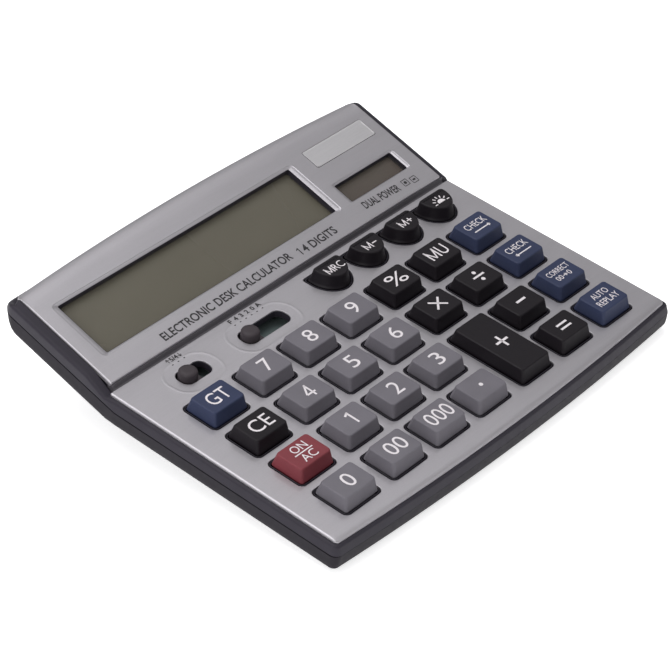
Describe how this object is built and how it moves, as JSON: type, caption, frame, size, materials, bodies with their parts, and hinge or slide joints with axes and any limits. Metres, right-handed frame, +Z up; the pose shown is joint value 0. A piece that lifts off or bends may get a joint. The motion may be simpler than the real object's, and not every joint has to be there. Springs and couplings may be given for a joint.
{
  "type": "desktop calculator",
  "caption": "Wide desktop calculator with a tilted display, drafted keys in rows, round-fronted memory keys, two slide switches and a battery wedge below.",
  "frame": {"origin": "centre of the base, on the surface that the feet stand on", "axes": "+X to the right along the key rows, +Y to the rear, towards the display, +Z up"},
  "size_m": [0.1586, 0.133, 0.0374],
  "materials": {
    "case_plastic": "moulded, fine texture",
    "silver_panel": "fine brushed, satin",
    "badge_metal": "satin",
    "key_grey": "moulded, satin",
    "key_black": "moulded, satin",
    "key_blue": "moulded, satin",
    "key_red": "moulded, satin",
    "knob_plastic": "moulded, satin",
    "window_clear": "clear acrylic",
    "lcd_glass": "satin polariser",
    "solar_glass": "dark, glossy",
    "holder_plastic": "moulded",
    "mat_rubber": "moulded silicone",
    "board_laminate": "solder mask",
    "chip_epoxy": "cast epoxy",
    "ribbon_film": "film",
    "wire_red": "smooth",
    "wire_black": "smooth",
    "contact_brass": "plated",
    "cell_jacket": "printed jacket, plain",
    "contact_steel": "nickel plated",
    "foot_rubber": "moulded",
    "screw_steel": "zinc plated"
  },
  "bodies": {
    "case": {"upper_case": "case_plastic", "lower_case": "case_plastic", "keypad_faceplate": "silver_panel", "display_faceplate": "silver_panel", "badge_plate": "badge_metal", "lcd_window": "window_clear", "lcd_panel": "lcd_glass", "lcd_holder": "holder_plastic", "solar_window": "window_clear", "solar_cell": "solar_glass", "key_mat": "mat_rubber", "main_board": "board_laminate", "controller_chip": "chip_epoxy", "display_ribbon": "ribbon_film", "solar_leads": "wire_red", "battery_leads": "wire_black", "battery_cell": "cell_jacket", "battery_spring": "contact_steel", "battery_contact": "contact_steel", "rubber_feet": "foot_rubber", "case_screws": "screw_steel", "board_screws": "screw_steel"},
    "key_0_body": {"key_0": "key_grey"},
    "key_1_body": {"key_1": "key_grey"},
    "key_2_body": {"key_2": "key_grey"},
    "key_3_body": {"key_3": "key_grey"},
    "key_4_body": {"key_4": "key_grey"},
    "key_5_body": {"key_5": "key_grey"},
    "key_6_body": {"key_6": "key_grey"},
    "key_7_body": {"key_7": "key_grey"},
    "key_8_body": {"key_8": "key_grey"},
    "key_9_body": {"key_9": "key_grey"},
    "key_00_body": {"key_00": "key_grey"},
    "key_000_body": {"key_000": "key_grey"},
    "key_point_body": {"key_point": "key_grey"},
    "key_clear_entry_body": {"key_clear_entry": "key_black"},
    "key_percent_body": {"key_percent": "key_black"},
    "key_multiply_body": {"key_multiply": "key_black"},
    "key_plus_body": {"key_plus": "key_black"},
    "key_mark_up_body": {"key_mark_up": "key_black"},
    "key_divide_body": {"key_divide": "key_black"},
    "key_minus_body": {"key_minus": "key_black"},
    "key_equals_body": {"key_equals": "key_black"},
    "key_memory_recall_body": {"key_memory_recall": "key_black"},
    "key_memory_minus_body": {"key_memory_minus": "key_black"},
    "key_memory_plus_body": {"key_memory_plus": "key_black"},
    "key_backlight_body": {"key_backlight": "key_black"},
    "key_grand_total_body": {"key_grand_total": "key_blue"},
    "key_check_forward_body": {"key_check_forward": "key_blue"},
    "key_check_back_body": {"key_check_back": "key_blue"},
    "key_correct_body": {"key_correct": "key_blue"},
    "key_auto_replay_body": {"key_auto_replay": "key_blue"},
    "key_on_all_clear_body": {"key_on_all_clear": "key_red"},
    "rounding_switch": {"rounding_switch_knob": "knob_plastic", "rounding_switch_contact": "contact_brass"},
    "decimal_switch": {"decimal_switch_knob": "knob_plastic", "decimal_switch_contact": "contact_brass"},
    "battery_door_body": {"battery_door": "case_plastic"}
  },
  "joints": [
    {"name": "key_0_press", "type": "slide", "parent": "case", "child": "key_0_body", "axis": [0, 0.1097, -0.994], "range_m": [0, 0.0016], "stiffness_N_per_m": 300, "springref_m": -0.0015},
    {"name": "key_1_press", "type": "slide", "parent": "case", "child": "key_1_body", "axis": [0, 0.1097, -0.994], "range_m": [0, 0.0016], "stiffness_N_per_m": 300, "springref_m": -0.0015},
    {"name": "key_2_press", "type": "slide", "parent": "case", "child": "key_2_body", "axis": [0, 0.1097, -0.994], "range_m": [0, 0.0016], "stiffness_N_per_m": 300, "springref_m": -0.0015},
    {"name": "key_3_press", "type": "slide", "parent": "case", "child": "key_3_body", "axis": [0, 0.1097, -0.994], "range_m": [0, 0.0016], "stiffness_N_per_m": 300, "springref_m": -0.0015},
    {"name": "key_4_press", "type": "slide", "parent": "case", "child": "key_4_body", "axis": [0, 0.1097, -0.994], "range_m": [0, 0.0016], "stiffness_N_per_m": 300, "springref_m": -0.0015},
    {"name": "key_5_press", "type": "slide", "parent": "case", "child": "key_5_body", "axis": [0, 0.1097, -0.994], "range_m": [0, 0.0016], "stiffness_N_per_m": 300, "springref_m": -0.0015},
    {"name": "key_6_press", "type": "slide", "parent": "case", "child": "key_6_body", "axis": [0, 0.1097, -0.994], "range_m": [0, 0.0016], "stiffness_N_per_m": 300, "springref_m": -0.0015},
    {"name": "key_7_press", "type": "slide", "parent": "case", "child": "key_7_body", "axis": [0, 0.1097, -0.994], "range_m": [0, 0.0016], "stiffness_N_per_m": 300, "springref_m": -0.0015},
    {"name": "key_8_press", "type": "slide", "parent": "case", "child": "key_8_body", "axis": [0, 0.1097, -0.994], "range_m": [0, 0.0016], "stiffness_N_per_m": 300, "springref_m": -0.0015},
    {"name": "key_9_press", "type": "slide", "parent": "case", "child": "key_9_body", "axis": [0, 0.1097, -0.994], "range_m": [0, 0.0016], "stiffness_N_per_m": 300, "springref_m": -0.0015},
    {"name": "key_00_press", "type": "slide", "parent": "case", "child": "key_00_body", "axis": [0, 0.1097, -0.994], "range_m": [0, 0.0016], "stiffness_N_per_m": 300, "springref_m": -0.0015},
    {"name": "key_000_press", "type": "slide", "parent": "case", "child": "key_000_body", "axis": [0, 0.1097, -0.994], "range_m": [0, 0.0016], "stiffness_N_per_m": 300, "springref_m": -0.0015},
    {"name": "key_point_press", "type": "slide", "parent": "case", "child": "key_point_body", "axis": [0, 0.1097, -0.994], "range_m": [0, 0.0016], "stiffness_N_per_m": 300, "springref_m": -0.0015},
    {"name": "key_clear_entry_press", "type": "slide", "parent": "case", "child": "key_clear_entry_body", "axis": [0, 0.1097, -0.994], "range_m": [0, 0.0016], "stiffness_N_per_m": 300, "springref_m": -0.0015},
    {"name": "key_percent_press", "type": "slide", "parent": "case", "child": "key_percent_body", "axis": [0, 0.1097, -0.994], "range_m": [0, 0.0016], "stiffness_N_per_m": 300, "springref_m": -0.0015},
    {"name": "key_multiply_press", "type": "slide", "parent": "case", "child": "key_multiply_body", "axis": [0, 0.1097, -0.994], "range_m": [0, 0.0016], "stiffness_N_per_m": 300, "springref_m": -0.0015},
    {"name": "key_plus_press", "type": "slide", "parent": "case", "child": "key_plus_body", "axis": [0, 0.1097, -0.994], "range_m": [0, 0.0016], "stiffness_N_per_m": 300, "springref_m": -0.0015},
    {"name": "key_mark_up_press", "type": "slide", "parent": "case", "child": "key_mark_up_body", "axis": [0, 0.1097, -0.994], "range_m": [0, 0.0016], "stiffness_N_per_m": 300, "springref_m": -0.0015},
    {"name": "key_divide_press", "type": "slide", "parent": "case", "child": "key_divide_body", "axis": [0, 0.1097, -0.994], "range_m": [0, 0.0016], "stiffness_N_per_m": 300, "springref_m": -0.0015},
    {"name": "key_minus_press", "type": "slide", "parent": "case", "child": "key_minus_body", "axis": [0, 0.1097, -0.994], "range_m": [0, 0.0016], "stiffness_N_per_m": 300, "springref_m": -0.0015},
    {"name": "key_equals_press", "type": "slide", "parent": "case", "child": "key_equals_body", "axis": [0, 0.1097, -0.994], "range_m": [0, 0.0016], "stiffness_N_per_m": 300, "springref_m": -0.0015},
    {"name": "key_memory_recall_press", "type": "slide", "parent": "case", "child": "key_memory_recall_body", "axis": [0, 0.1097, -0.994], "range_m": [0, 0.0016], "stiffness_N_per_m": 300, "springref_m": -0.0015},
    {"name": "key_memory_minus_press", "type": "slide", "parent": "case", "child": "key_memory_minus_body", "axis": [0, 0.1097, -0.994], "range_m": [0, 0.0016], "stiffness_N_per_m": 300, "springref_m": -0.0015},
    {"name": "key_memory_plus_press", "type": "slide", "parent": "case", "child": "key_memory_plus_body", "axis": [0, 0.1097, -0.994], "range_m": [0, 0.0016], "stiffness_N_per_m": 300, "springref_m": -0.0015},
    {"name": "key_backlight_press", "type": "slide", "parent": "case", "child": "key_backlight_body", "axis": [0, 0.1097, -0.994], "range_m": [0, 0.0016], "stiffness_N_per_m": 300, "springref_m": -0.0015},
    {"name": "key_grand_total_press", "type": "slide", "parent": "case", "child": "key_grand_total_body", "axis": [0, 0.1097, -0.994], "range_m": [0, 0.0016], "stiffness_N_per_m": 300, "springref_m": -0.0015},
    {"name": "key_check_forward_press", "type": "slide", "parent": "case", "child": "key_check_forward_body", "axis": [0, 0.1097, -0.994], "range_m": [0, 0.0016], "stiffness_N_per_m": 300, "springref_m": -0.0015},
    {"name": "key_check_back_press", "type": "slide", "parent": "case", "child": "key_check_back_body", "axis": [0, 0.1097, -0.994], "range_m": [0, 0.0016], "stiffness_N_per_m": 300, "springref_m": -0.0015},
    {"name": "key_correct_press", "type": "slide", "parent": "case", "child": "key_correct_body", "axis": [0, 0.1097, -0.994], "range_m": [0, 0.0016], "stiffness_N_per_m": 300, "springref_m": -0.0015},
    {"name": "key_auto_replay_press", "type": "slide", "parent": "case", "child": "key_auto_replay_body", "axis": [0, 0.1097, -0.994], "range_m": [0, 0.0016], "stiffness_N_per_m": 300, "springref_m": -0.0015},
    {"name": "key_on_all_clear_press", "type": "slide", "parent": "case", "child": "key_on_all_clear_body", "axis": [0, 0.1097, -0.994], "range_m": [0, 0.0016], "stiffness_N_per_m": 300, "springref_m": -0.0015},
    {"name": "rounding_switch_slide", "type": "slide", "parent": "case", "child": "rounding_switch", "axis": [1, 0, 0], "range_m": [0, 0.005]},
    {"name": "decimal_switch_slide", "type": "slide", "parent": "case", "child": "decimal_switch", "axis": [1, 0, 0], "range_m": [0, 0.0125]},
    {"name": "battery_door_slide", "type": "slide", "parent": "case", "child": "battery_door_body", "axis": [0, 1, 0], "range_m": [0, 0.022]}
  ]
}
